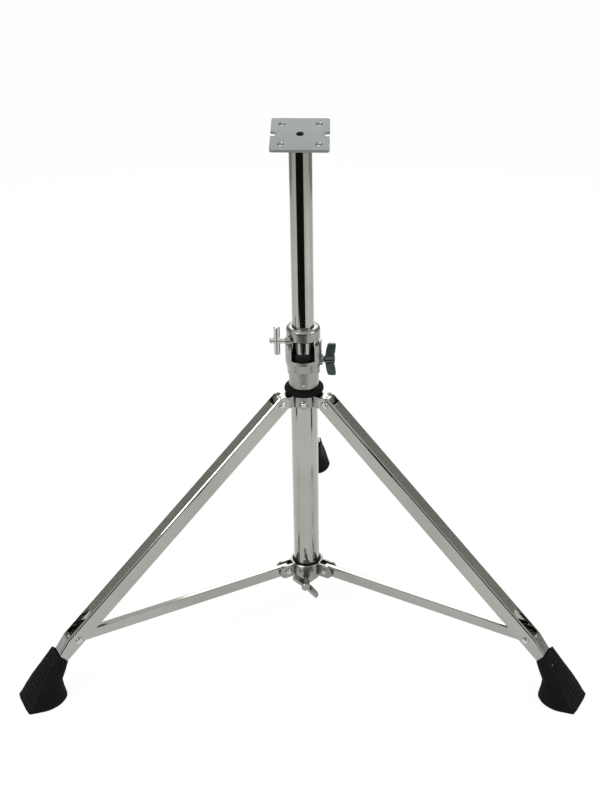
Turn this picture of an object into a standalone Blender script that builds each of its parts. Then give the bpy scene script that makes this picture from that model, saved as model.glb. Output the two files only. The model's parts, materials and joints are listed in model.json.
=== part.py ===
# Conga stand: a low folding tripod with a sliding mast and a slanted mounting plate.
# Metres, +Z up, the floor at Z = 0. Azimuth 0 is +X, and the rear leg stands at +Y.
# The mast's axis is set back from the origin, so the origin lies under the middle of the footprint.

import math

import bmesh
import bpy
from mathutils import Matrix, Vector

# Fits
GAP = 0.0003
SHEET = 0.0015

# Mounting plate
PLATE_SIDE = 0.0632
PLATE_THICKNESS = 0.0032
PLATE_CORNER = 0.0030
PLATE_TILT = math.radians(15.7)
PLATE_HEIGHT = 0.6224
SCREW_SPACING = 0.0402
SCREW_HOLE_RADIUS = 0.0028
COUNTERSINK_RADIUS = 0.0038
CENTRE_HOLE_RADIUS = 0.0043
SIDE_SLOT_WIDTH = 0.0090
SIDE_SLOT_DEPTH = 0.0064

# Tubes
MAST_RADIUS = 0.0127
MAST_BOTTOM = 0.060
BASE_RADIUS = 0.0159
BASE_TOP = 0.3410
BASE_BOTTOM = 0.0500
TUBE_WALL = 0.0015

# Memory lock
LOCK_RADIUS = 0.0198
LOCK_BOTTOM = 0.3865
LOCK_HEIGHT = 0.0150
LOCK_SHOULDER = 0.0044
LOCK_BOSS_RADIUS = 0.0048
LOCK_BOSS_REACH = 0.0200
T_BOLT_RADIUS = 0.0035
T_BOLT_SET_BACK = 0.0140
T_BOLT_REACH = 0.0380
T_BAR_RADIUS = 0.0036
T_BAR_LENGTH = 0.0350
T_BAR_REACH = 0.0296

# Height clamp
SLEEVE_RADIUS = 0.0177
SHELL_WAIST_RADIUS = 0.0193
SHELL_RADIUS = 0.0214
SLEEVE_BOTTOM = 0.3250
SLEEVE_TOP = 0.3425
SHELL_WAIST = 0.3480
SHELL_FULL = 0.3580
FRONT_WALL_TOP = 0.3625
PILLAR_TOP = 0.3820
WINDOW_WIDTH = 0.0268
BUSHING_TOP = 0.3685
BUSHING_WALL = 0.0021
CLAMP_BOSS_RADIUS = 0.0068
CLAMP_BOSS_REACH = 0.0225
CLAMP_BOLT_HEIGHT = 0.3580
CLAMP_PIN_RADIUS = 0.0017
CLAMP_PIN_HEIGHT = 0.3310
CLAMP_PIN_REACH = 0.0185

# Wing bolts
STUD_RADIUS = 0.0036
HUB_RADIUS = 0.0050
HUB_LENGTH = 0.0120
WING_SPAN = 0.0405
WING_LENGTH = 0.0120
WING_THICKNESS = 0.0034
CLAMP_WING_START = 0.0245
COLLAR_WING_START = 0.0385
COLLAR_WING_TURN = math.radians(-45.0)

# Rubber ring and leg spider
RING_RADIUS = 0.0232
RING_ROUNDING = 0.0032
SPIDER_BOTTOM = 0.3020
SPIDER_TOP = 0.3168
SPIDER_RADIUS = 0.0186
SPIDER_SCREW_RADIUS = 0.0032
SPIDER_SCREW_HEIGHT = 0.3065

# Legs, whose angle is measured from the vertical
LEG_ANGLE = math.radians(49.2)
LEG_AZIMUTHS = (math.radians(90.0), math.radians(210.0), math.radians(330.0))
LEG_PIVOT_REACH = 0.0330
LEG_PIVOT_HEIGHT = 0.3093
LEG_WIDTH = 0.0180
LEG_DEPTH = 0.0185
LEG_CORNER = 0.0030
LEG_LENGTH = 0.4010
LEG_WEB_START = 0.0080
LEG_BEND_START = 0.3660
LEG_BEND_END = 0.3880
LEG_BEND_DROP = 0.0050
LEG_SLOT_START = 0.3240
LEG_SLOT_END = 0.3650
LEG_SLOT_WIDTH = 0.0120

# Braces, whose outer pivot lies along the leg and a little below its middle
BRACE_PIVOT_ALONG = 0.3590
BRACE_PIVOT_BELOW = 0.00215
BRACE_WIDTH = 0.0080
BRACE_DEPTH = 0.0130
BRACE_CORNER = 0.0020

# Sliding collar
COLLAR_BOTTOM = 0.0560
COLLAR_TOP = 0.0760
COLLAR_RADIUS = 0.0204
LINER_WALL = 0.0017
COLLAR_PIVOT_REACH = 0.0292
COLLAR_PIVOT_HEIGHT = 0.0696
EAR_THICKNESS = 0.0025
EAR_REACH = 0.0410
EAR_BOTTOM = 0.0602
EAR_TOP = 0.0780
COLLAR_BOSS_WIDTH = 0.0170
COLLAR_BOSS_REACH = 0.0265
COLLAR_BOLT_HEIGHT = 0.0660

# Rivets
RIVET_RADIUS = 0.0026
RIVET_HEAD_RADIUS = 0.0040
RIVET_HEAD_HEIGHT = 0.0016
LEG_RIVET_HEAD_RADIUS = 0.0046

# Rubber feet, as distances from the mast's axis, heights and half widths
FOOT_HEEL = 0.3240
FOOT_TOE = 0.3745
FOOT_HALF_WIDTH = 0.0245
FOOT_TOE_HALF_WIDTH = 0.0200
FOOT_WAIST_HEIGHT = 0.0250
FOOT_TOP_START = 0.3870
FOOT_TOP_HALF_WIDTH = 0.0114
FOOT_TOP_WALL = 0.0026

ROUND_STEPS = 48
SMALL_STEPS = 20

# Derived places
FOOT_SIDE_REACH = FOOT_TOE * 0.5 + FOOT_TOE_HALF_WIDTH * math.cos(math.radians(30.0))
MAST_Y = (FOOT_SIDE_REACH - FOOT_TOE) / 2
LEG_SLOPE = math.pi / 2 - LEG_ANGLE
LEG_INNER_HALF = LEG_WIDTH / 2 - SHEET
LUG_HALF = LEG_INNER_HALF - GAP
EAR_INNER = BRACE_WIDTH / 2 + GAP

# Materials: colour, roughness, metallic
FINISHES = {
    "chrome": ((0.40, 0.41, 0.40), 0.16, 1.0),
    "plate_zinc": ((0.30, 0.32, 0.32), 0.38, 0.9),
    "cast_chrome": ((0.36, 0.37, 0.36), 0.22, 1.0),
    "steel": ((0.45, 0.45, 0.44), 0.25, 1.0),
    "rubber": ((0.012, 0.013, 0.012), 0.62, 0.0),
    "nylon": ((0.010, 0.010, 0.011), 0.40, 0.0),
}


def clear_scene():
    for item in list(bpy.data.objects):
        bpy.data.objects.remove(item, do_unlink=True)


def make_material(name):
    colour, roughness, metallic = FINISHES[name]
    material = bpy.data.materials.new(name)
    material.use_nodes = True
    shader = material.node_tree.nodes["Principled BSDF"]
    shader.inputs["Base Color"].default_value = (*colour, 1.0)
    shader.inputs["Roughness"].default_value = roughness
    shader.inputs["Metallic"].default_value = metallic
    material.diffuse_color = (*colour, 1.0)
    return material


def to_object(name, bm):
    """Closes a bmesh into an object at the world's origin."""
    bmesh.ops.recalc_face_normals(bm, faces=bm.faces)
    mesh = bpy.data.meshes.new(name)
    bm.to_mesh(mesh)
    bm.free()
    item = bpy.data.objects.new(name, mesh)
    bpy.context.collection.objects.link(item)
    return item


def finish(item, material_name, angle=35.0):
    mesh = item.data
    mesh.shade_smooth()
    mesh.set_sharp_from_angle(angle=math.radians(angle))
    mesh.materials.clear()
    mesh.materials.append(MATERIALS[material_name])
    return item


def place(item, x=0.0, y=0.0, z=0.0, turn=(0.0, 0.0, 0.0)):
    """Places an object whose x and y are measured from the mast's axis."""
    item.location = (x, y + MAST_Y, z)
    item.rotation_euler = turn
    return item


def turned(name, profile, steps=ROUND_STEPS, closed=True):
    """Spins a profile of (radius, height) points round Z; an open one starts and ends on the axis."""
    bm = bmesh.new()
    points = [bm.verts.new((radius, 0.0, height)) for radius, height in profile]
    pairs = list(zip(points, points[1:]))
    if closed:
        pairs.append((points[-1], points[0]))
    edges = [bm.edges.new(pair) for pair in pairs]
    bmesh.ops.spin(bm, geom=points + edges, cent=(0, 0, 0), axis=(0, 0, 1), angle=2 * math.pi,
                   steps=steps, use_merge=True)
    bmesh.ops.remove_doubles(bm, verts=bm.verts, dist=1e-7)
    return to_object(name, bm)


def prism(name, outline, depth, centre=0.0):
    """Extrudes an outline of (x, z) points along Y, with its middle at centre."""
    bm = bmesh.new()
    face = bm.faces.new([bm.verts.new((x, centre - depth / 2, z)) for x, z in outline])
    moved = bmesh.ops.extrude_face_region(bm, geom=[face])["geom"]
    bmesh.ops.translate(bm, vec=(0, depth, 0), verts=[v for v in moved if isinstance(v, bmesh.types.BMVert)])
    return to_object(name, bm)


def block(name, low, high):
    bm = bmesh.new()
    bmesh.ops.create_cube(bm, size=1.0)
    size = Vector(high) - Vector(low)
    bmesh.ops.scale(bm, vec=size, verts=bm.verts)
    bmesh.ops.translate(bm, vec=(Vector(high) + Vector(low)) / 2, verts=bm.verts)
    return to_object(name, bm)


def rod(name, radius, start, end, steps=SMALL_STEPS, chamfer=0.0):
    """A round rod along a straight line, with its ends chamfered if asked."""
    start, end = Vector(start), Vector(end)
    length = (end - start).length
    profile = [(0.0, 0.0), (radius - chamfer, 0.0)]
    if chamfer:
        profile += [(radius, chamfer), (radius, length - chamfer)]
    else:
        profile += [(radius, length)]
    profile += [(radius - chamfer, length)] if chamfer else []
    profile += [(0.0, length)]
    item = turned(name, profile, steps, closed=False)
    turn = (end - start).to_track_quat("Z", "Y").to_matrix().to_4x4()
    item.data.transform(Matrix.Translation(start) @ turn)
    return item


def apply_boolean(item, cutter, operation="DIFFERENCE"):
    """Cuts or joins with an exact Boolean, keeps the result in the mesh and removes the cutter."""
    modifier = item.modifiers.new(operation.lower(), "BOOLEAN")
    modifier.operation = operation
    modifier.solver = "EXACT"
    modifier.object = cutter
    keep_modifiers(item)
    bpy.data.objects.remove(cutter, do_unlink=True)
    return item


def keep_modifiers(item):
    bpy.context.view_layer.update()
    graph = bpy.context.evaluated_depsgraph_get()
    mesh = bpy.data.meshes.new_from_object(item.evaluated_get(graph))
    item.modifiers.clear()
    item.data = mesh
    return item


def tidy(item, distance=1e-6):
    """Merges the stray doubles and flat edges that a Boolean leaves."""
    bm = bmesh.new()
    bm.from_mesh(item.data)
    bmesh.ops.remove_doubles(bm, verts=bm.verts, dist=distance)
    bmesh.ops.dissolve_limit(bm, angle_limit=math.radians(0.2), verts=bm.verts, edges=bm.edges,
                             use_dissolve_boundaries=False)
    bm.to_mesh(item.data)
    bm.free()
    return item


def copies(item, material_name, names, places):
    """Places one shape several times under its own names, all sharing its mesh."""
    finish(item, material_name)
    made = []
    for name, (location, turn) in zip(names, places):
        copy = bpy.data.objects.new(name, item.data)
        bpy.context.collection.objects.link(copy)
        place(copy, *location, turn=turn)
        made.append(copy)
    bpy.data.objects.remove(item, do_unlink=True)
    return made


def arc(centre_x, centre_z, radius, start, end, steps):
    """Points on an arc, with the angles in degrees."""
    points = []
    for step in range(steps + 1):
        angle = math.radians(start + (end - start) * step / steps)
        points.append((centre_x + radius * math.cos(angle), centre_z + radius * math.sin(angle)))
    return points


def around(reach, height, azimuth):
    """A place at this distance and direction from the mast's axis."""
    return (reach * math.cos(azimuth), reach * math.sin(azimuth), height)


# Mounting plate
def make_plate():
    half = PLATE_SIDE / 2
    corner = half - PLATE_CORNER
    outline = arc(corner, corner, PLATE_CORNER, 0, 90, 5)
    outline += arc(-corner, corner, PLATE_CORNER, 90, 180, 5)
    outline += arc(-corner, -corner, PLATE_CORNER, 180, 270, 5)
    outline += arc(corner, -corner, PLATE_CORNER, 270, 360, 5)
    plate = prism("mounting_plate", outline, PLATE_THICKNESS)
    plate.data.transform(Matrix.Rotation(math.pi / 2, 4, "X"))
    through = PLATE_THICKNESS
    for side in (-1, 1):
        inner = side * (half - SIDE_SLOT_DEPTH + SIDE_SLOT_WIDTH / 2)
        end = rod("slot_end", SIDE_SLOT_WIDTH / 2, (inner, 0, -through), (inner, 0, through), 28)
        apply_boolean(plate, end)
        near, far = sorted((inner, side * (half + 0.002)))
        mouth = block("slot_mouth", (near, -SIDE_SLOT_WIDTH / 2, -through), (far, SIDE_SLOT_WIDTH / 2, through))
        apply_boolean(plate, mouth)
        for row in (-1, 1):
            x, y = side * SCREW_SPACING / 2, row * SCREW_SPACING / 2
            apply_boolean(plate, rod("screw_hole", SCREW_HOLE_RADIUS, (x, y, -through), (x, y, through)))
            top = PLATE_THICKNESS / 2
            depth = COUNTERSINK_RADIUS - SCREW_HOLE_RADIUS * 0.9
            cone = turned("countersink", [(0, -depth), (SCREW_HOLE_RADIUS * 0.9, -depth),
                                          (COUNTERSINK_RADIUS + 0.0005, 0.0005), (0, 0.0005)], SMALL_STEPS, False)
            cone.data.transform(Matrix.Translation((x, y, top)))
            apply_boolean(plate, cone)
    apply_boolean(plate, rod("centre_hole", CENTRE_HOLE_RADIUS, (0, 0, -through), (0, 0, through), 24))
    tidy(plate)
    finish(plate, "plate_zinc")
    place(plate, 0, 0, PLATE_HEIGHT, (PLATE_TILT, 0, 0))


# Tubes
def slant_top(item, height):
    """Cuts a tube's top ring to the plate's slant by sliding its points along the tube."""
    for vertex in item.data.vertices:
        if vertex.co.z > height:
            vertex.co.z += vertex.co.y * math.tan(PLATE_TILT)


def make_tubes():
    under = PLATE_HEIGHT - (PLATE_THICKNESS / 2 + GAP) / math.cos(PLATE_TILT)
    inner = MAST_RADIUS - TUBE_WALL
    mast = turned("mast_tube", [(inner, MAST_BOTTOM), (MAST_RADIUS - 0.0003, MAST_BOTTOM),
                                (MAST_RADIUS, MAST_BOTTOM + 0.0003), (MAST_RADIUS, under), (inner, under)])
    slant_top(mast, under - 0.001)
    finish(mast, "chrome")
    place(mast)
    inner = BASE_RADIUS - TUBE_WALL
    base = turned("base_tube", [(inner, BASE_BOTTOM), (BASE_RADIUS - 0.0003, BASE_BOTTOM),
                                (BASE_RADIUS, BASE_BOTTOM + 0.0003), (BASE_RADIUS, BASE_TOP), (inner, BASE_TOP)])
    finish(base, "chrome")
    place(base)


# Memory lock, a ring that sits over the clamp's pillars and is held by a T-bolt
def make_memory_lock():
    top = LOCK_BOTTOM + LOCK_HEIGHT
    inner = MAST_RADIUS + GAP
    profile = [(inner, LOCK_BOTTOM), (LOCK_RADIUS - 0.0008, LOCK_BOTTOM), (LOCK_RADIUS, LOCK_BOTTOM + 0.0008)]
    profile += arc(LOCK_RADIUS - LOCK_SHOULDER, top - LOCK_SHOULDER, LOCK_SHOULDER, 0, 90, 5)
    profile += [(inner, top)]
    lock = turned("memory_lock", profile)
    axis_z = LOCK_BOTTOM + LOCK_BOSS_RADIUS - 0.0030
    start = (-MAST_RADIUS - 0.0012, -T_BOLT_SET_BACK, axis_z)
    boss = rod("boss", LOCK_BOSS_RADIUS, start, (-LOCK_BOSS_REACH, -T_BOLT_SET_BACK, axis_z), 24, 0.0006)
    apply_boolean(lock, boss, "UNION")
    bore_end = (-LOCK_BOSS_REACH - 0.002, -T_BOLT_SET_BACK, axis_z)
    apply_boolean(lock, rod("bore", T_BOLT_RADIUS + GAP, (start[0] - 0.0020, start[1], start[2]), bore_end, 24))
    tidy(lock)
    finish(lock, "cast_chrome")
    place(lock)
    shank_start = (start[0] - 0.0020 - GAP, start[1], start[2])
    shank = rod("memory_lock_bolt", T_BOLT_RADIUS, shank_start, (-T_BOLT_REACH, start[1], axis_z), 24, 0.0006)
    bar_low = (-T_BAR_REACH, start[1], axis_z - T_BAR_LENGTH / 2)
    bar_high = (-T_BAR_REACH, start[1], axis_z + T_BAR_LENGTH / 2)
    bar = rod("bar", T_BAR_RADIUS, bar_low, bar_high, 24, 0.0012)
    apply_boolean(shank, bar, "UNION")
    tidy(shank)
    finish(shank, "steel")
    place(shank)


# Height clamp: a sleeve on the base tube whose two pillars carry the memory lock
def make_clamp():
    inner = BASE_RADIUS + GAP
    seat = BASE_TOP + GAP
    profile = [(inner, SLEEVE_BOTTOM), (SLEEVE_RADIUS - 0.0012, SLEEVE_BOTTOM), (SLEEVE_RADIUS, SLEEVE_BOTTOM + 0.0012),
               (SLEEVE_RADIUS, SLEEVE_TOP), (SHELL_WAIST_RADIUS, SLEEVE_TOP + 0.0008),
               (SHELL_WAIST_RADIUS, SHELL_WAIST), (SHELL_RADIUS, SHELL_FULL), (SHELL_RADIUS, PILLAR_TOP - 0.001),
               (SHELL_RADIUS - 0.001, PILLAR_TOP), (inner, PILLAR_TOP)]
    clamp = turned("height_clamp", profile)
    window = block("window", (-WINDOW_WIDTH / 2, -0.04, FRONT_WALL_TOP), (WINDOW_WIDTH / 2, 0.04, PILLAR_TOP + 0.01))
    apply_boolean(clamp, window)
    boss = rod("boss", CLAMP_BOSS_RADIUS, (inner + 0.0012, 0, CLAMP_BOLT_HEIGHT),
               (CLAMP_BOSS_REACH, 0, CLAMP_BOLT_HEIGHT), 28, 0.0005)
    apply_boolean(clamp, boss, "UNION")
    apply_boolean(clamp, rod("bore", STUD_RADIUS + GAP, (0.010, 0, CLAMP_BOLT_HEIGHT), (0.030, 0, CLAMP_BOLT_HEIGHT), 24))
    apply_boolean(clamp, rod("pin_hole", CLAMP_PIN_RADIUS + GAP, (0, -0.012, CLAMP_PIN_HEIGHT),
                             (0, -0.025, CLAMP_PIN_HEIGHT), 16))
    tidy(clamp)
    finish(clamp, "cast_chrome")
    place(clamp)
    pin = rod("clamp_pin", CLAMP_PIN_RADIUS, (0, -BASE_RADIUS - GAP, CLAMP_PIN_HEIGHT),
              (0, -CLAMP_PIN_REACH, CLAMP_PIN_HEIGHT), 16, 0.0004)
    finish(pin, "steel")
    place(pin)
    outer = MAST_RADIUS + GAP + BUSHING_WALL
    bushing = turned("clamp_bushing", [(MAST_RADIUS + GAP, seat), (outer, seat), (outer, BUSHING_TOP - 0.0006),
                                       (outer - 0.0006, BUSHING_TOP), (MAST_RADIUS + GAP, BUSHING_TOP)])
    finish(bushing, "nylon")
    place(bushing)


# Wing bolts, modelled along +Z from their seat
def wing_bolt(name, stud_start, wing_start):
    hub = rod(name, HUB_RADIUS, (0, 0, wing_start), (0, 0, wing_start + HUB_LENGTH), 24, 0.0008)
    apply_boolean(hub, rod("stud", STUD_RADIUS, (0, 0, stud_start), (0, 0, wing_start + 0.003), 24, 0.0004), "UNION")
    half = WING_SPAN / 2
    base = wing_start + 0.0005
    tip = wing_start + WING_LENGTH + 0.0012
    for side in (-1, 1):
        outline = [(side * 0.0020, base), (side * half * 0.62, base + 0.0012), (side * half * 0.94, base + 0.0030),
                   (side * half, base + 0.0055), (side * half, tip - 0.0012), (side * half * 0.93, tip),
                   (side * half * 0.52, tip - 0.0008), (side * 0.0020, tip - 0.0030)]
        apply_boolean(hub, prism("wing", outline, WING_THICKNESS), "UNION")
    return tidy(hub)


def make_wing_bolts():
    bolt = wing_bolt("clamp_wing_bolt", SHELL_WAIST_RADIUS - 0.0030, CLAMP_WING_START)
    bolt.data.transform(Matrix.Rotation(math.pi / 2, 4, "Y"))
    finish(bolt, "cast_chrome")
    place(bolt, 0, 0, CLAMP_BOLT_HEIGHT)
    bolt = wing_bolt("collar_wing_bolt", BASE_RADIUS + LINER_WALL + 3 * GAP, COLLAR_WING_START)
    bolt.data.transform(Matrix.Rotation(COLLAR_WING_TURN, 4, "Z"))
    bolt.data.transform(Matrix.Rotation(math.pi / 2, 4, "X"))
    finish(bolt, "cast_chrome")
    place(bolt, 0, 0, COLLAR_BOLT_HEIGHT)


# Rubber ring between the clamp and the leg spider
def make_rubber_ring():
    low, high = SPIDER_TOP + GAP, SLEEVE_BOTTOM - GAP
    inner = BASE_RADIUS + GAP
    radius = min(RING_ROUNDING, (high - low) * 0.45)
    profile = [(inner, low)]
    profile += arc(RING_RADIUS - radius, low + radius, radius, -90, 0, 5)
    profile += arc(RING_RADIUS - radius, high - radius, radius, 0, 90, 5)
    profile += [(inner, high)]
    finish(turned("rubber_ring", profile), "rubber")
    place(bpy.data.objects["rubber_ring"])


# Leg spider: a hub on the base tube with three lugs that the legs straddle
def make_spider():
    inner = BASE_RADIUS + GAP
    chamfer = 0.0006
    profile = [(inner, SPIDER_BOTTOM), (SPIDER_RADIUS - chamfer, SPIDER_BOTTOM), (SPIDER_RADIUS, SPIDER_BOTTOM + chamfer),
               (SPIDER_RADIUS, SPIDER_TOP - chamfer), (SPIDER_RADIUS - chamfer, SPIDER_TOP), (inner, SPIDER_TOP)]
    spider = turned("leg_spider", profile)
    low, high = SPIDER_BOTTOM + 0.0003, SPIDER_TOP - 0.0002
    reach, height = LEG_PIVOT_REACH, LEG_PIVOT_HEIGHT
    radius = min(height - low, 0.0078)
    rise = math.degrees(math.asin(min((high - height) / radius, 0.95)))
    for azimuth in LEG_AZIMUTHS:
        outline = [(inner + 0.0012, low), (reach, height - radius)]
        outline += arc(reach, height, radius, -80, 90, 10)
        outline += arc(reach, height, radius, 100, 180 - rise, 3)
        outline += [(inner + 0.0012, high)]
        lug = prism("lug", outline, LUG_HALF * 2)
        lug.data.transform(Matrix.Rotation(azimuth, 4, "Z"))
        apply_boolean(spider, lug, "UNION")
    front = -SPIDER_RADIUS
    pad = rod("pad", 0.0052, (0, front + 0.0018, SPIDER_SCREW_HEIGHT), (0, front - 0.0012, SPIDER_SCREW_HEIGHT), 20, 0.0004)
    apply_boolean(spider, pad, "UNION")
    hole = rod("hole", SPIDER_SCREW_RADIUS + GAP, (0, -inner + 0.002, SPIDER_SCREW_HEIGHT),
               (0, front - 0.004, SPIDER_SCREW_HEIGHT), 20)
    apply_boolean(spider, hole)
    tidy(spider)
    finish(spider, "cast_chrome")
    place(spider)
    screw = rod("spider_screw", SPIDER_SCREW_RADIUS, (0, -BASE_RADIUS - GAP, SPIDER_SCREW_HEIGHT),
                (0, front - 0.0026, SPIDER_SCREW_HEIGHT), 20, 0.0006)
    finish(screw, "steel")
    place(screw)


# Folded sheet channels for the legs and braces: +X along the piece, +Z out of its web
def channel(name, width, depth, corner, length, drop=None):
    """An inverted U of sheet; drop gives how far the web sinks at a place along it."""
    half = width / 2
    stations = [0.0, length] if drop is None else [0.0, LEG_BEND_START, LEG_BEND_END, length]
    bm = bmesh.new()
    rows = []
    for x in stations:
        top = depth / 2 - (drop(x) if drop else 0.0)
        section = [(-half, -depth / 2 - 0.002)] + arc(-half + corner, top - corner, corner, 180, 90, 4)
        section += arc(half - corner, top - corner, corner, 90, 0, 4) + [(half, -depth / 2 - 0.002)]
        rows.append([bm.verts.new((x, y, z)) for y, z in section])
    for near, far in zip(rows, rows[1:]):
        for index in range(len(near) - 1):
            bm.faces.new((near[index], near[index + 1], far[index + 1], far[index]))
    bmesh.ops.recalc_face_normals(bm, faces=bm.faces)
    mesh = bpy.data.meshes.new(name)
    bm.to_mesh(mesh)
    bm.free()
    item = bpy.data.objects.new(name, mesh)
    bpy.context.collection.objects.link(item)
    outward = sum((polygon.normal.z for polygon in mesh.polygons), 0.0) > 0
    modifier = item.modifiers.new("thickness", "SOLIDIFY")
    modifier.thickness = SHEET
    modifier.offset = -1.0 if outward else 1.0
    modifier.use_even_offset = True
    return keep_modifiers(item)


def sink(x):
    """How far the leg's web has sunk at this place along it."""
    share = (x - LEG_BEND_START) / (LEG_BEND_END - LEG_BEND_START)
    return LEG_BEND_DROP * min(max(share, 0.0), 1.0)


def make_leg():
    """A leg with its pivot at the origin, running along +X."""
    ear = LEG_DEPTH / 2
    leg = channel("leg", LEG_WIDTH, LEG_DEPTH, LEG_CORNER, LEG_LENGTH + 0.02, sink)
    leg.data.transform(Matrix.Translation((-0.02, 0, 0)))
    for vertex in leg.data.vertices:
        if vertex.co.x > -0.019:
            vertex.co.x += 0.02 if vertex.co.x < LEG_LENGTH - 0.001 else 0.0
    outline = [(LEG_LENGTH, -ear), (LEG_LENGTH, ear + 0.001)]
    outline += arc(0, 0, ear, 90, 270, 16)
    outline[2] = (0.0, ear + 0.001)
    shape = prism("shape", outline, LEG_WIDTH + 0.01)
    apply_boolean(leg, shape, "INTERSECT")
    inner = LEG_INNER_HALF - 0.0008
    mouth = block("mouth", (-0.02, -inner, ear - SHEET - 0.004), (LEG_WEB_START, inner, ear + 0.004))
    apply_boolean(leg, mouth)
    slot_half = LEG_SLOT_WIDTH / 2
    first, last = LEG_SLOT_START + slot_half, LEG_SLOT_END - slot_half
    outline = arc(first, 0, slot_half, 90, 270, 10) + arc(last, 0, slot_half, -90, 90, 10)
    slot = prism("slot", outline, 0.012)
    slot.data.transform(Matrix.Translation((0, 0, ear)) @ Matrix.Rotation(math.pi / 2, 4, "X"))
    apply_boolean(leg, slot)
    wide = LEG_WIDTH
    apply_boolean(leg, rod("hole", RIVET_RADIUS + GAP, (0, -wide, 0), (0, wide, 0), 16))
    along, below = BRACE_PIVOT_ALONG, -BRACE_PIVOT_BELOW
    apply_boolean(leg, rod("hole", RIVET_RADIUS + GAP, (along, -wide, below), (along, wide, below), 16))
    return tidy(leg)


def leg_point(along, out):
    """A point of the leg's middle plane as its distance from the mast and its height."""
    reach = LEG_PIVOT_REACH + along * math.cos(LEG_SLOPE) + out * math.sin(LEG_SLOPE)
    height = LEG_PIVOT_HEIGHT - along * math.sin(LEG_SLOPE) + out * math.cos(LEG_SLOPE)
    return reach, height


def make_legs():
    places = [(around(LEG_PIVOT_REACH, LEG_PIVOT_HEIGHT, azimuth), (0, LEG_SLOPE, azimuth)) for azimuth in LEG_AZIMUTHS]
    copies(make_leg(), "chrome", ("leg_1", "leg_2", "leg_3"), places)
    for side, word in ((1, "left"), (-1, "right")):
        names = [f"leg_rivet_{number}_{word}" for number in (1, 2, 3)]
        copies(rivet_stub(side), "steel", names, places)


def rivet_stub(side):
    """A rivet head with a short shank in one ear of the leg."""
    face = LEG_WIDTH / 2
    inside = LEG_INNER_HALF
    profile = [(0.0, inside), (RIVET_RADIUS, inside), (RIVET_RADIUS, face + GAP), (LEG_RIVET_HEAD_RADIUS, face + GAP),
               (LEG_RIVET_HEAD_RADIUS * 0.93, face + GAP + RIVET_HEAD_HEIGHT * 0.5),
               (LEG_RIVET_HEAD_RADIUS * 0.6, face + GAP + RIVET_HEAD_HEIGHT * 0.95), (0.0, face + RIVET_HEAD_HEIGHT * 1.2)]
    stub = turned("stub", profile, 20, closed=False)
    stub.data.transform(Matrix.Rotation(-side * math.pi / 2, 4, "X"))
    return stub


def long_rivet(name, half_grip):
    """A rivet along Y with a low domed head at each end."""
    head, rise = RIVET_HEAD_RADIUS, RIVET_HEAD_HEIGHT
    seat = half_grip + GAP
    side = [(RIVET_RADIUS, seat), (head, seat), (head * 0.93, seat + rise * 0.5), (head * 0.6, seat + rise * 0.95),
            (0.0, seat + rise * 1.1)]
    profile = [(radius, -height) for radius, height in reversed(side)] + side
    item = turned(name, profile, 20, closed=False)
    item.data.transform(Matrix.Rotation(math.pi / 2, 4, "X"))
    return item


# Braces from the sliding collar to the legs
def brace_ends():
    outer = leg_point(BRACE_PIVOT_ALONG, -BRACE_PIVOT_BELOW)
    inner = (COLLAR_PIVOT_REACH, COLLAR_PIVOT_HEIGHT)
    length = math.hypot(outer[0] - inner[0], outer[1] - inner[1])
    rise = math.atan2(outer[1] - inner[1], outer[0] - inner[0])
    return length, rise


def make_braces():
    length, rise = brace_ends()
    radius = BRACE_DEPTH / 2
    brace = channel("brace", BRACE_WIDTH, BRACE_DEPTH, BRACE_CORNER, length + 2 * radius + 0.004)
    brace.data.transform(Matrix.Translation((-radius - 0.002, 0, 0)))
    outline = arc(0, 0, radius, 90, 270, 12) + arc(length, 0, radius, -90, 90, 12)
    apply_boolean(brace, prism("shape", outline, BRACE_WIDTH + 0.01), "INTERSECT")
    for x in (0.0, length):
        apply_boolean(brace, rod("hole", RIVET_RADIUS + GAP, (x, -0.01, 0), (x, 0.01, 0), 16))
    tidy(brace)
    places = []
    for azimuth in LEG_AZIMUTHS:
        places.append((around(COLLAR_PIVOT_REACH, COLLAR_PIVOT_HEIGHT, azimuth), (0, -rise, azimuth)))
    copies(brace, "chrome", ("brace_1", "brace_2", "brace_3"), places)
    rivet = long_rivet("rivet", EAR_INNER + EAR_THICKNESS)
    copies(rivet, "steel", ("collar_rivet_1", "collar_rivet_2", "collar_rivet_3"), places)
    reach, height = leg_point(BRACE_PIVOT_ALONG, -BRACE_PIVOT_BELOW)
    places = [(around(reach, height, azimuth), (0, LEG_SLOPE, azimuth)) for azimuth in LEG_AZIMUTHS]
    rivet = long_rivet("rivet", LEG_WIDTH / 2)
    copies(rivet, "steel", ("brace_rivet_1", "brace_rivet_2", "brace_rivet_3"), places)


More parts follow.
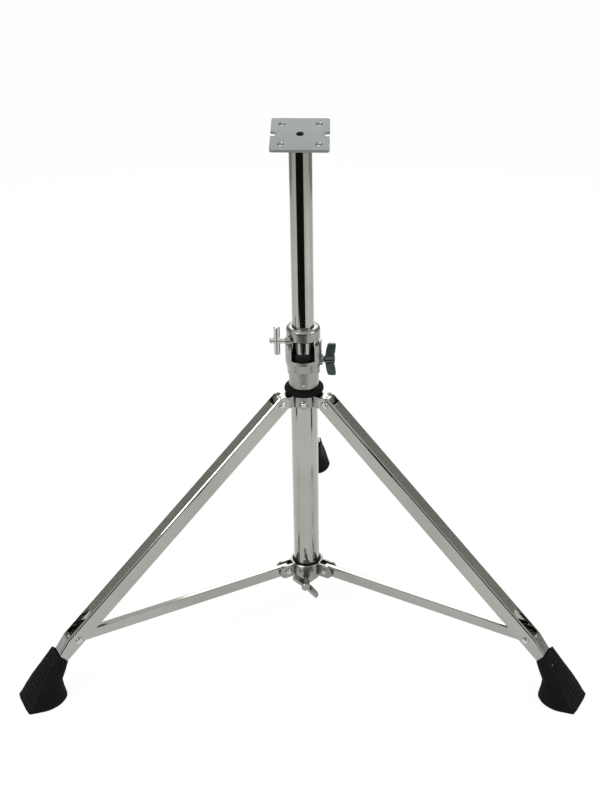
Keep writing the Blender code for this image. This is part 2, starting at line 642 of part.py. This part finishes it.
# Sliding collar with its liner
def make_collar():
    inner = BASE_RADIUS + 2 * GAP + LINER_WALL
    chamfer = 0.0006
    profile = [(inner, COLLAR_BOTTOM), (COLLAR_RADIUS - chamfer, COLLAR_BOTTOM), (COLLAR_RADIUS, COLLAR_BOTTOM + chamfer),
               (COLLAR_RADIUS, COLLAR_TOP - chamfer), (COLLAR_RADIUS - chamfer, COLLAR_TOP), (inner, COLLAR_TOP)]
    collar = turned("sliding_collar", profile)
    radius = (EAR_TOP - EAR_BOTTOM) / 2
    middle = (EAR_TOP + EAR_BOTTOM) / 2
    for azimuth in LEG_AZIMUTHS:
        for side in (-1, 1):
            outline = [(inner + 0.0012, EAR_BOTTOM)]
            outline += arc(EAR_REACH - radius, middle, radius, -90, 90, 12)
            outline += [(COLLAR_RADIUS + 0.0014, EAR_TOP), (COLLAR_RADIUS - 0.0004, COLLAR_TOP - 0.0002), (inner + 0.0012, COLLAR_TOP - 0.0002)]
            ear = prism("ear", outline, EAR_THICKNESS, side * (EAR_INNER + EAR_THICKNESS / 2))
            ear.data.transform(Matrix.Rotation(azimuth, 4, "Z"))
            apply_boolean(collar, ear, "UNION")
        pivot = Vector(around(COLLAR_PIVOT_REACH, COLLAR_PIVOT_HEIGHT, azimuth))
        across = Vector((-math.sin(azimuth), math.cos(azimuth), 0)) * 0.012
        apply_boolean(collar, rod("hole", RIVET_RADIUS + GAP, pivot - across, pivot + across, 16))
    half = COLLAR_BOSS_WIDTH / 2
    low, high = COLLAR_BOTTOM + 0.0005, COLLAR_TOP - 0.0005
    outline = [(-half, -inner - 0.0012), (-half, -COLLAR_BOSS_REACH + 0.004), (-half + 0.003, -COLLAR_BOSS_REACH),
               (half - 0.003, -COLLAR_BOSS_REACH), (half, -COLLAR_BOSS_REACH + 0.004), (half, -inner - 0.0012)]
    boss = prism("boss", outline, high - low)
    boss.data.transform(Matrix.Translation((0, 0, (low + high) / 2)) @ Matrix.Rotation(math.pi / 2, 4, "X"))
    boss.data.transform(Matrix.Scale(-1, 4, (0, 1, 0)))
    boss.data.flip_normals()
    bore_keep = turned("bore_keep", [(0, low - 0.01), (inner + 0.0004, low - 0.01), (inner + 0.0004, high + 0.01), (0, high + 0.01)],
                       ROUND_STEPS, False)
    if boss.bound_box[0][1] > 0 or boss.data.vertices[0].co.y > 0:
        boss.data.transform(Matrix.Rotation(math.pi, 4, "Z"))
    apply_boolean(boss, bore_keep)
    apply_boolean(collar, boss, "UNION")
    hole = rod("hole", STUD_RADIUS + GAP, (0, -inner + 0.002, COLLAR_BOLT_HEIGHT),
               (0, -COLLAR_BOSS_REACH - 0.002, COLLAR_BOLT_HEIGHT), 24)
    apply_boolean(collar, hole)
    tidy(collar)
    finish(collar, "cast_chrome")
    place(collar)
    outer = BASE_RADIUS + GAP + LINER_WALL
    liner = turned("collar_liner", [(BASE_RADIUS + GAP, COLLAR_BOTTOM), (outer, COLLAR_BOTTOM), (outer, COLLAR_TOP + 0.0004),
                                    (BASE_RADIUS + GAP, COLLAR_TOP + 0.0004)])
    finish(liner, "nylon")
    place(liner)


# Rubber feet: lofted from the sole up to a sleeve round the leg's end
def rounded(points, steps=3):
    """Adds points between these on a smooth curve through all of them."""
    made = []
    for index in range(len(points) - 1):
        a, b = Vector(points[max(index - 1, 0)]), Vector(points[index])
        c, d = Vector(points[index + 1]), Vector(points[min(index + 2, len(points) - 1)])
        for step in range(steps):
            t = step / steps
            point = 0.5 * (2 * b + (c - a) * t + (2 * a - 5 * b + 4 * c - d) * t ** 2
                           + (3 * b - a - 3 * c + d) * t ** 3)
            made.append((point.x, point.y))
    return made + [tuple(points[-1])]


def foot_ring(heel, toe, heel_height, toe_height, toe_half, widest, heel_half):
    """One closed ring of a foot, as (reach, side, height) points, in the same order each time."""
    length = toe - heel
    half = [(toe, 0.0), (toe, toe_half * 0.55), (toe - length * 0.02, toe_half),
            (toe - length * 0.20, (toe_half + widest) / 2), (toe - length * 0.45, widest),
            (toe - length * 0.72, (widest * 0.6 + heel_half * 0.4) * 0.98), (heel + length * 0.08, heel_half * 0.78),
            (heel + length * 0.01, heel_half * 0.38), (heel, 0.0)]
    half = half[:2] + rounded(half[2:])
    ring = []
    for reach, side in half + [(x, -y) for x, y in reversed(half[1:-1])]:
        share = (reach - heel) / length
        ring.append((reach, side, heel_height + (toe_height - heel_height) * share))
    return ring


def make_foot():
    """A foot in the middle plane of a leg at azimuth 0, still measured from the mast's axis."""
    wall = FOOT_TOP_WALL
    back = leg_point(FOOT_TOP_START, -LEG_DEPTH / 2 - wall)
    front = leg_point(FOOT_TOP_START, LEG_DEPTH / 2 - LEG_BEND_DROP + wall)
    heel, toe, wide, toe_half, top_half = FOOT_HEEL, FOOT_TOE, FOOT_HALF_WIDTH, FOOT_TOE_HALF_WIDTH, FOOT_TOP_HALF_WIDTH
    waist = FOOT_WAIST_HEIGHT

    def toe_at(height):
        share = height / front[1]
        return toe + (front[0] - toe) * share + 0.0025 * math.sin(math.pi * min(share, 1.0))

    rings = [foot_ring(heel + 0.0012, toe - 0.0012, 0.0, 0.0, toe_half - 0.0010, wide - 0.0012, wide * 0.72),
             foot_ring(heel, toe + 0.0006, 0.0018, 0.0018, toe_half, wide, wide * 0.74),
             foot_ring(heel + 0.0006, toe_at(0.007), 0.0065, 0.0070, toe_half, wide * 0.95, wide * 0.70),
             foot_ring(heel + 0.0020, toe_at(0.015), 0.0140, 0.0150, toe_half * 0.95, wide * 0.78, wide * 0.60),
             foot_ring(heel + 0.0028, toe_at(waist + 0.002), waist, waist + 0.002, toe_half * 0.84, wide * 0.62, wide * 0.50),
             foot_ring(heel * 0.45 + back[0] * 0.55 + 0.0010, toe_at(0.043), waist * 0.5 + back[1] * 0.5, 0.043,
                       top_half + 0.0020, top_half + 0.0016, top_half * 1.02),
             foot_ring(back[0], front[0], back[1], front[1], top_half, top_half, top_half)]
    bm = bmesh.new()
    rows = [[bm.verts.new(point) for point in ring] for ring in rings]
    for low, high in zip(rows, rows[1:]):
        for index in range(len(low)):
            after = (index + 1) % len(low)
            bm.faces.new((low[index], low[after], high[after], high[index]))
    bm.faces.new(list(reversed(rows[0])))
    bm.faces.new(rows[-1])
    foot = to_object("foot", bm)
    ear = LEG_DEPTH / 2 + GAP
    top = LEG_DEPTH / 2 - LEG_BEND_DROP + GAP
    pocket = block("pocket", (FOOT_TOP_START - 0.02, -LEG_WIDTH / 2 - GAP, -ear), (LEG_LENGTH + GAP, LEG_WIDTH / 2 + GAP, top))
    turn = Matrix.Rotation(LEG_SLOPE, 4, "Y")
    pocket.data.transform(Matrix.Translation((LEG_PIVOT_REACH, 0, LEG_PIVOT_HEIGHT)) @ turn)
    apply_boolean(foot, pocket)
    return tidy(foot)


def make_feet():
    places = [((0, 0, 0), (0, 0, azimuth)) for azimuth in LEG_AZIMUTHS]
    copies(make_foot(), "rubber", ("foot_1", "foot_2", "foot_3"), places)


clear_scene()
MATERIALS = {name: make_material(name) for name in FINISHES}
make_plate()
make_tubes()
make_memory_lock()
make_clamp()
make_wing_bolts()
make_rubber_ring()
make_spider()
make_collar()
make_legs()
make_braces()
make_feet()
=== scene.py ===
import json
import math

import bmesh
import bpy
from mathutils import Matrix, Vector
from mathutils.bvhtree import BVHTree


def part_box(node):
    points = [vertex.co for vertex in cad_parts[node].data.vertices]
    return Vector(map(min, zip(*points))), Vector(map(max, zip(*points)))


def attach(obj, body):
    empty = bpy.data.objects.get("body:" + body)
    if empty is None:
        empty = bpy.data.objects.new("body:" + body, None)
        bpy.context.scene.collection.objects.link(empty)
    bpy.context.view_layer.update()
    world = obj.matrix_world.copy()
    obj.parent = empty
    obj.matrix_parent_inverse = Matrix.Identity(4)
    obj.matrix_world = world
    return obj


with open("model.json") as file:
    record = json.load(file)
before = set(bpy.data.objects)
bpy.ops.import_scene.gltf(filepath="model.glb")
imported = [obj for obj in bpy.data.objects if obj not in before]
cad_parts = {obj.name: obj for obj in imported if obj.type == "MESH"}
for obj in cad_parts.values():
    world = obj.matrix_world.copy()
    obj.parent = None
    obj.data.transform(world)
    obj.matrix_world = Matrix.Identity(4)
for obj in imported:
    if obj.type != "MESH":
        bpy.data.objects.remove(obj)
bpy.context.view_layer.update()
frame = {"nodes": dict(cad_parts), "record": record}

# Camera, measured from the mast's axis
cameraValues = {
    "right": 0.0488,
    "back": 1.2531,
    "height": 0.9773,
    "pan": math.radians(0.79),
    "pitch": math.radians(28.20),
    "roll": math.radians(0.53),
    "lens": 54.135,
    "shift": -0.0752,
}

# Soft lights: place measured from the mast's axis, size and power; all of them face the target
lightTarget = (0.0, 0.0, 0.3)
lightValues = {
    "key": ((-0.9, -0.9, 1.5), (0.7, 0.7), 16.0),
    "fill": ((1.3, -0.5, 0.9), (0.5, 1.2), 7.0),
    "rim": ((0.2, 1.4, 1.4), (1.2, 0.5), 9.0),
}
surroundValues = {
    "strength": 0.9,
    "seenStrength": 1.0,
    "colour": (1.0, 1.0, 1.0, 1.0),
}

# Floor: how much of its white the camera sees as a plain backdrop
floorValues = {
    "size": 12.0,
    "height": -0.0002,
    "colour": (0.86, 0.86, 0.86, 1.0),
    "roughness": 0.9,
    "white": 0.90,
}

# Cards seen only in the metal: middle, measured from the mast's axis, then width, height, turn and colour
cardValues = {
    "front_card": ((-0.23, -0.70, 0.25), 1.14, 0.50, 0.0, (0.010, 0.011, 0.012, 1.0)),
    "left_card": ((-1.25, 0.55, 0.90), 2.00, 1.60, math.radians(57.0), (0.34, 0.34, 0.32, 1.0)),
    "right_card": ((1.25, 0.55, 0.90), 2.00, 1.60, math.radians(-57.0), (0.34, 0.34, 0.32, 1.0)),
}

# Finishes: colour, a second colour it drifts to, roughness range, metallic, bump height, noise scale
finishValues = {
    "chrome": ((0.37, 0.375, 0.345), (0.25, 0.255, 0.23), (0.05, 0.11), 1.0, 0.00002, 90.0),
    "plate_zinc": ((0.215, 0.23, 0.23), (0.165, 0.175, 0.175), (0.32, 0.46), 0.85, 0.00004, 160.0),
    "cast_chrome": ((0.34, 0.345, 0.32), (0.15, 0.155, 0.145), (0.14, 0.30), 1.0, 0.00010, 110.0),
    "dark_wing": ((0.11, 0.135, 0.135), (0.045, 0.058, 0.060), (0.14, 0.28), 1.0, 0.00010, 110.0),
    "steel": ((0.55, 0.55, 0.53), (0.36, 0.36, 0.35), (0.18, 0.32), 1.0, 0.00004, 200.0),
    "rubber": ((0.0022, 0.0024, 0.0022), (0.0045, 0.0048, 0.0045), (0.62, 0.80), 0.0, 0.00010, 320.0),
    "nylon": ((0.006, 0.006, 0.007), (0.011, 0.011, 0.012), (0.30, 0.42), 0.0, 0.00003, 260.0),
}

# The noise under every finish: scales as shares of the finish's own, and how much each adds to roughness
noiseValues = {
    "broadScale": 0.12,
    "broadDetail": 3.0,
    "broadShare": 0.6,
    "fineScale": 4.0,
    "fineDetail": 4.0,
    "fineShare": 0.4,
    "dullSpecular": 0.07,
}

# Nodes whose finish differs from the rest of their slot
ownFinishes = {"clamp_wing_bolt": "dark_wing"}

# Curved ribs across the front of each rubber foot
legAzimuths = {1: 90, 2: 210, 3: 330}
ribValues = {
    "count": 9,
    "lowest": 0.0085,
    "spacing": 0.0047,
    "sag": 0.0040,
    "lowSag": 0.4,
    "radius": 0.0011,
    "sunk": 0.35,
    "taper": 0.3,
    "tip": 0.05,
    "halfWidthLow": 0.0185,
    "halfWidthHigh": 0.0092,
    "steps": 16,
    "sides": 8,
    "searchFrom": 0.6,
}


class Socket:
    def __init__(self, tree, value):
        self.tree = tree
        self.value = value

    def node(self, kind, settings, inputs):
        made = self.tree.nodes.new(kind)
        for name, setting in settings.items():
            setattr(made, name, setting)
        for name, value in inputs.items():
            if isinstance(value, Socket):
                self.tree.links.new(value.value, made.inputs[name])
            else:
                made.inputs[name].default_value = value
        return made

    def maths(self, operation, other):
        made = self.node("ShaderNodeMath", {"operation": operation}, {0: self, 1: other})
        return Socket(self.tree, made.outputs[0])

    def __add__(self, other):
        return self.maths("ADD", other)

    def __mul__(self, other):
        return self.maths("MULTIPLY", other)

    __radd__ = __add__
    __rmul__ = __mul__


def noise(place, scale, detail):
    made = place.node("ShaderNodeTexNoise", {}, {"Vector": place, "Scale": scale, "Detail": detail})
    return Socket(place.tree, made.outputs["Fac"])


def makeMaterial(name):
    colour, drift, roughness, metallic, bumpHeight, scale = finishValues[name]
    values = noiseValues
    material = bpy.data.materials.new("look_" + name)
    material.use_nodes = True
    tree = material.node_tree
    shader = tree.nodes["Principled BSDF"]
    place = Socket(tree, tree.nodes.new("ShaderNodeTexCoord").outputs["Object"])
    broad = noise(place, scale * values["broadScale"], values["broadDetail"])
    fine = noise(place, scale * values["fineScale"], values["fineDetail"])
    colours = {0: broad, 6: (*colour, 1.0), 7: (*drift, 1.0)}
    mix = place.node("ShaderNodeMix", {"data_type": "RGBA"}, colours)
    tree.links.new(mix.outputs[2], shader.inputs["Base Color"])
    low, high = roughness
    rough = low + (high - low) * (values["broadShare"] * broad + values["fineShare"] * fine)
    tree.links.new(rough.value, shader.inputs["Roughness"])
    shader.inputs["Metallic"].default_value = metallic
    if not metallic:
        shader.inputs["Specular IOR Level"].default_value = values["dullSpecular"]
    bump = place.node("ShaderNodeBump", {}, {"Height": fine, "Distance": bumpHeight, "Strength": 1.0})
    tree.links.new(bump.outputs["Normal"], shader.inputs["Normal"])
    return material


def dressNodes():
    made = {name: makeMaterial(name) for name in finishValues}
    slots = {part["node"]: part["material_slot"] for part in frame["record"]["subparts"]}
    for name, slot in slots.items():
        mesh = frame["nodes"][name].data
        mesh.materials.clear()
        mesh.materials.append(made[ownFinishes.get(name, slot)])
    print("materials", len(slots))
    return made


def linkMesh(name, bm, material):
    mesh = bpy.data.meshes.new(name)
    bm.to_mesh(mesh)
    bm.free()
    mesh.materials.append(material)
    item = bpy.data.objects.new(name, mesh)
    bpy.context.scene.collection.objects.link(item)
    return item


def addTube(bm, points, radius, sides):
    rings = []
    last = len(points) - 1
    for index, point in enumerate(points):
        before = points[max(index - 1, 0)]
        after = points[min(index + 1, last)]
        turn = (after - before).to_track_quat("Z", "Y")
        swell = max(math.sin(math.pi * index / last), 0.0) ** ribValues["taper"]
        thin = radius * swell + radius * ribValues["tip"]
        ring = []
        for step in range(sides):
            angle = 2 * math.pi * step / sides
            offset = turn @ Vector((math.cos(angle) * thin, math.sin(angle) * thin, 0.0))
            ring.append(bm.verts.new(point + offset))
        rings.append(ring)
    for near, far in zip(rings, rings[1:]):
        for step in range(sides):
            after = (step + 1) % sides
            bm.faces.new((near[step], near[after], far[after], far[step]))
    bm.faces.new(list(reversed(rings[0])))
    bm.faces.new(rings[-1])


def ribPoints(surface, outward, across, mastY, rib):
    values = ribValues
    share = rib / (values["count"] - 1)
    half = values["halfWidthLow"] + (values["halfWidthHigh"] - values["halfWidthLow"]) * share
    points = []
    for step in range(values["steps"] + 1):
        side = 2 * step / values["steps"] - 1
        sag = values["sag"] * (side * side - 1) * (values["lowSag"] + share)
        height = values["lowest"] + values["spacing"] * rib - sag
        start = Vector((0.0, mastY, height)) + outward * values["searchFrom"] + across * side * half
        hit = surface.ray_cast(start, -outward)[0]
        if hit is not None:
            points.append(hit - outward * values["radius"] * values["sunk"])
    return points


def addFootRibs(number, degrees, mastY, material):
    azimuth = math.radians(degrees)
    outward = Vector((math.cos(azimuth), math.sin(azimuth), 0.0))
    across = Vector((-outward.y, outward.x, 0.0))
    foot = frame["nodes"][f"foot_{number}"].data
    corners = [vertex.co.copy() for vertex in foot.vertices]
    surface = BVHTree.FromPolygons(corners, [tuple(face.vertices) for face in foot.polygons])
    bm = bmesh.new()
    for rib in range(ribValues["count"]):
        points = ribPoints(surface, outward, across, mastY, rib)
        if len(points) > 3:
            addTube(bm, points, ribValues["radius"], ribValues["sides"])
    bmesh.ops.recalc_face_normals(bm, faces=bm.faces)
    ribs = linkMesh(f"foot_ribs_{number}", bm, material)
    ribs.data.shade_smooth()
    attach(ribs, f"leg_arm_{number}")


def addCamera(mastY):
    values = cameraValues
    pan, pitch, roll = values["pan"], values["pitch"], values["roll"]
    ahead = math.cos(pitch)
    forward = Vector((math.sin(pan) * ahead, math.cos(pan) * ahead, -math.sin(pitch)))
    level = Vector((math.cos(pan), -math.sin(pan), 0.0))
    upright = level.cross(forward)
    right = level * math.cos(roll) + upright * math.sin(roll)
    up = upright * math.cos(roll) - level * math.sin(roll)
    data = bpy.data.cameras.new("camera")
    data.lens = values["lens"]
    data.shift_x = values["shift"]
    camera = bpy.data.objects.new("camera", data)
    turn = Matrix((right, up, -forward)).transposed().to_4x4()
    place = Matrix.Translation((values["right"], mastY - values["back"], values["height"]))
    camera.matrix_world = place @ turn
    bpy.context.scene.collection.objects.link(camera)
    bpy.context.scene.camera = camera
    print("camera")


def addLight(name, mastY):
    place, size, power = lightValues[name]
    data = bpy.data.lights.new(name, "AREA")
    data.shape = "RECTANGLE"
    data.size, data.size_y = size
    data.energy = power
    light = bpy.data.objects.new(name, data)
    light.location = (place[0], mastY + place[1], place[2])
    facing = Vector((lightTarget[0], mastY + lightTarget[1], lightTarget[2])) - light.location
    light.rotation_euler = facing.to_track_quat("-Z", "Y").to_euler()
    bpy.context.scene.collection.objects.link(light)


def addSurround():
    world = bpy.data.worlds.new("world")
    world.use_nodes = True
    bpy.context.scene.world = world
    tree = world.node_tree
    background = tree.nodes["Background"]
    path = tree.nodes.new("ShaderNodeLightPath")
    seen = Socket(tree, path.outputs["Is Camera Ray"])
    glossy = Socket(tree, path.outputs["Is Glossy Ray"])
    through = Socket(tree, path.outputs["Is Transmission Ray"])
    white = seen + glossy + through
    strengths = {0: white, 2: surroundValues["strength"], 3: surroundValues["seenStrength"]}
    level = white.node("ShaderNodeMix", {"data_type": "FLOAT", "clamp_factor": True}, strengths)
    tree.links.new(level.outputs[0], background.inputs["Strength"])
    background.inputs["Color"].default_value = surroundValues["colour"]
    print("lights")


def addFloor():
    values = floorValues
    bpy.ops.mesh.primitive_plane_add(size=values["size"], location=(0.0, 0.0, values["height"]))
    floor = bpy.context.object
    floor.name = "floor"
    material = bpy.data.materials.new("floor")
    material.use_nodes = True
    tree = material.node_tree
    shader = tree.nodes["Principled BSDF"]
    shader.inputs["Base Color"].default_value = values["colour"]
    shader.inputs["Roughness"].default_value = values["roughness"]
    path = tree.nodes.new("ShaderNodeLightPath")
    seen = Socket(tree, path.outputs["Is Camera Ray"])
    white = seen.node("ShaderNodeEmission", {}, {"Color": (1.0, 1.0, 1.0, 1.0), "Strength": 1.0})
    blend = tree.nodes.new("ShaderNodeMixShader")
    tree.links.new((seen * values["white"]).value, blend.inputs[0])
    tree.links.new(shader.outputs[0], blend.inputs[1])
    tree.links.new(white.outputs[0], blend.inputs[2])
    tree.links.new(blend.outputs[0], tree.nodes["Material Output"].inputs["Surface"])
    floor.data.materials.append(material)
    print("floor")


def addCard(name, mastY):
    middle, width, height, turn, colour = cardValues[name]
    material = bpy.data.materials.new(name)
    material.use_nodes = True
    shader = material.node_tree.nodes["Principled BSDF"]
    shader.inputs["Base Color"].default_value = colour
    shader.inputs["Specular IOR Level"].default_value = 0.0
    bm = bmesh.new()
    bmesh.ops.create_grid(bm, x_segments=1, y_segments=1, size=0.5)
    place = Matrix.Translation((middle[0], middle[1] + mastY, middle[2])) @ Matrix.Rotation(turn, 4, "Z")
    stand = Matrix.Rotation(math.pi / 2, 4, "X") @ Matrix.Diagonal((width, height, 1.0, 1.0))
    bmesh.ops.transform(bm, matrix=place @ stand, verts=bm.verts)
    card = linkMesh(name, bm, material)
    card.visible_camera = False
    card.visible_diffuse = False
    card.visible_shadow = False


low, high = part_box("mast_tube")
mastY = (low[1] + high[1]) / 2
addCamera(mastY)
looks = dressNodes()
for number, degrees in legAzimuths.items():
    addFootRibs(number, degrees, mastY, looks["rubber"])
print("foot ribs")
for light in lightValues:
    addLight(light, mastY)
addSurround()
addFloor()
for card in cardValues:
    addCard(card, mastY)
print("cards")
bpy.context.scene.view_settings.view_transform = "Standard"
